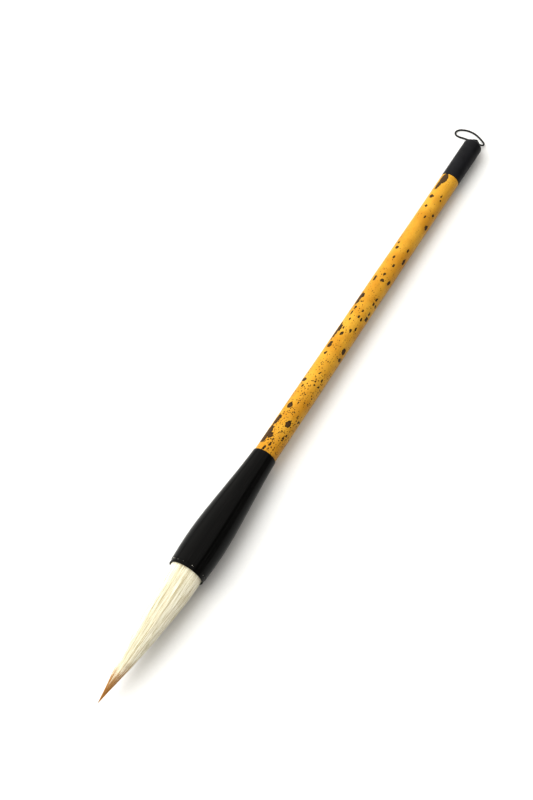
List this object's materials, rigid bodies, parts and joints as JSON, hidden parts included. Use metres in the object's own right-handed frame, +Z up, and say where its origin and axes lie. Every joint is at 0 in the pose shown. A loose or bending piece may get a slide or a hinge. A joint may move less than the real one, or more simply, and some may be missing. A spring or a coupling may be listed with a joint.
{
  "type": "calligraphy brush",
  "caption": "Calligraphy brush lying on its side: tapered hair tuft in a black bell ferrule, spotted bamboo handle, black end cap and a cord hanging loop.",
  "frame": {"origin": "on the surface the brush lies on, under the middle of its length from hair tip to cap boss", "axes": "+X along the brush towards the end cap, +Z up, +Y to the side the hanging loop lies on"},
  "size_m": [0.294, 0.019, 0.0152],
  "materials": {
    "goat_hair": "soft white hair with a slight sheen",
    "lining_hair": "cream hair",
    "weasel_hair": "brown hair with a slight sheen",
    "black_horn": "polished black horn",
    "satin_black_horn": "satin black horn",
    "spotted_bamboo": "golden bamboo with dark spots, thin clear lacquer",
    "dowel_wood": "plain light wood",
    "binding_thread": "waxed linen thread",
    "rosin": "set amber rosin",
    "black_cord": "black twisted cord"
  },
  "bodies": {
    "brush": {"bamboo_handle": "spotted_bamboo", "handle_dowel": "dowel_wood", "ferrule": "black_horn", "end_cap": "satin_black_horn", "cover_hair_roots": "goat_hair", "lining_hair_roots": "lining_hair", "core_hair_roots": "weasel_hair", "root_binding": "binding_thread", "rosin_seal": "rosin", "stopper_knot": "black_cord", "cord_tail": "black_cord"},
    "tuft": {"cover_hairs": "goat_hair", "lining_hairs": "lining_hair", "core_hairs": "weasel_hair"},
    "loop_neck": {"neck_serving": "black_cord"},
    "loop_eye": {"eye_knot": "black_cord", "hanging_loop": "black_cord"}
  },
  "joints": [
    {"name": "tuft_bend", "type": "hinge", "parent": "brush", "child": "tuft", "pos_m": [-0.09321, 0, 0.00785], "axis": [0, 1, 0], "range_deg": [-40, 40], "stiffness_Nm_per_rad": 0.08},
    {"name": "loop_lift", "type": "hinge", "parent": "brush", "child": "loop_neck", "pos_m": [0.14406, 0, 0.00493], "axis": [0, 1, 0], "range_deg": [-130, 0]},
    {"name": "eye_turn", "type": "hinge", "parent": "loop_neck", "child": "loop_eye", "pos_m": [0.14544, 0.0008, 0.00219], "axis": [0, 0, 1], "range_deg": [-100, 10]}
  ]
}
